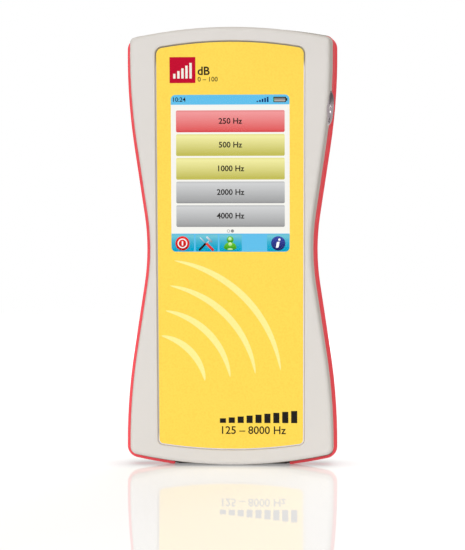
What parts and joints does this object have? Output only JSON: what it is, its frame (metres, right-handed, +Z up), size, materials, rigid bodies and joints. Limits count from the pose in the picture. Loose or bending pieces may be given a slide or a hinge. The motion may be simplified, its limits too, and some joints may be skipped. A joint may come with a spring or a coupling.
{
  "type": "audiometer",
  "caption": "Hand-held audiometer: an hourglass case with a leaning face, a touch display, round sockets on the top end, a side power button and a battery door in the back.",
  "frame": {"origin": "centre of the overall box in X and Y, on the surface that the case stands on", "axes": "+Z up the case towards its sockets, +X to the right of someone facing the display, -Y out of the display"},
  "size_m": [0.1, 0.0517, 0.2075],
  "materials": {
    "shell_plastic": "off-white, fine moulded texture",
    "grip_rubber": "soft-touch red",
    "seal_rubber": "matte grey",
    "foot_rubber": "matte black",
    "overlay_film": "yellow printed film with a fine texture",
    "touch_glass": "clear, polished",
    "display_panel": "lit display",
    "display_tray": "white moulded tray",
    "foam": "black foam",
    "sheet_steel": "stamped",
    "screw_steel": "zinc plated",
    "insert_brass": "knurled",
    "flex_film": "amber flex",
    "board_laminate": "green solder mask",
    "chip_epoxy": "black epoxy",
    "connector_plastic": "black moulded",
    "cell_wrap": "shrink wrap over a metal can",
    "contact_metal": "nickel plated",
    "contact_gold": "gold plated",
    "button_metal": "satin",
    "trim_metal": "satin",
    "socket_metal": "satin chrome",
    "ring_blue": "blue",
    "ring_grey": "grey",
    "ring_red": "red",
    "speaker_film": "matte film",
    "speaker_mesh": "woven mesh",
    "magnet_iron": "plated"
  },
  "bodies": {
    "case": {"front_shell": "shell_plastic", "rear_shell": "shell_plastic", "seam_gasket": "seal_rubber", "grip_left": "grip_rubber", "grip_right": "grip_rubber", "bottom_feet": "foot_rubber", "back_feet": "foot_rubber", "case_screws": "screw_steel", "threaded_inserts": "insert_brass", "front_overlay": "overlay_film", "touch_glass": "touch_glass", "display_gasket": "foam", "lcd_panel": "display_panel", "backlight": "display_tray", "display_bracket_left": "sheet_steel", "display_bracket_right": "sheet_steel", "lcd_ribbon": "flex_film", "ribbon_plug": "connector_plastic", "main_board": "board_laminate", "board_screws": "screw_steel", "main_board_chips": "chip_epoxy", "shield_can": "sheet_steel", "coin_cell_holder": "connector_plastic", "coin_cell": "contact_metal", "amplifier_board": "board_laminate", "amplifier_spacers": "insert_brass", "amplifier_screws": "screw_steel", "amplifier_chips": "chip_epoxy", "board_link": "connector_plastic", "battery_cells": "cell_wrap", "battery_contacts": "contact_metal", "button_trim": "trim_metal", "switch_body": "connector_plastic", "connector_panel": "display_tray", "socket_left": "socket_metal", "socket_middle": "socket_metal", "socket_right": "socket_metal", "socket_ring_left": "ring_blue", "socket_ring_middle": "ring_grey", "socket_ring_right": "ring_red", "socket_inserts": "connector_plastic", "socket_contacts": "contact_gold", "socket_nuts": "contact_metal", "socket_board": "board_laminate", "socket_link": "connector_plastic", "power_jack": "connector_plastic", "jack_pin": "contact_metal", "data_port": "contact_metal", "data_port_base": "connector_plastic", "data_tongue": "connector_plastic", "speaker_frame": "sheet_steel", "speaker_magnet": "magnet_iron", "speaker_cone": "speaker_film", "speaker_gasket": "foam", "speaker_mesh": "speaker_mesh"},
    "button": {"power_button": "button_metal"},
    "plunger": {"switch_plunger": "contact_metal"},
    "door": {"battery_door": "shell_plastic", "door_seal": "foam", "door_screws": "screw_steel"}
  },
  "joints": [
    {"name": "power_button_press", "type": "slide", "parent": "case", "child": "button", "axis": [-1, 0, 0], "range_m": [0, 0.0008], "stiffness_N_per_m": 900},
    {"name": "switch_plunger_press", "type": "slide", "parent": "case", "child": "plunger", "axis": [-1, 0, 0], "range_m": [0, 0.0008]},
    {"name": "battery_door_lift", "type": "slide", "parent": "case", "child": "door", "axis": [0, 1, 0], "range_m": [0, 0.035]}
  ],
  "couplings": [
    {"joint": "switch_plunger_press", "follows": "power_button_press", "ratio": 1}
  ]
}
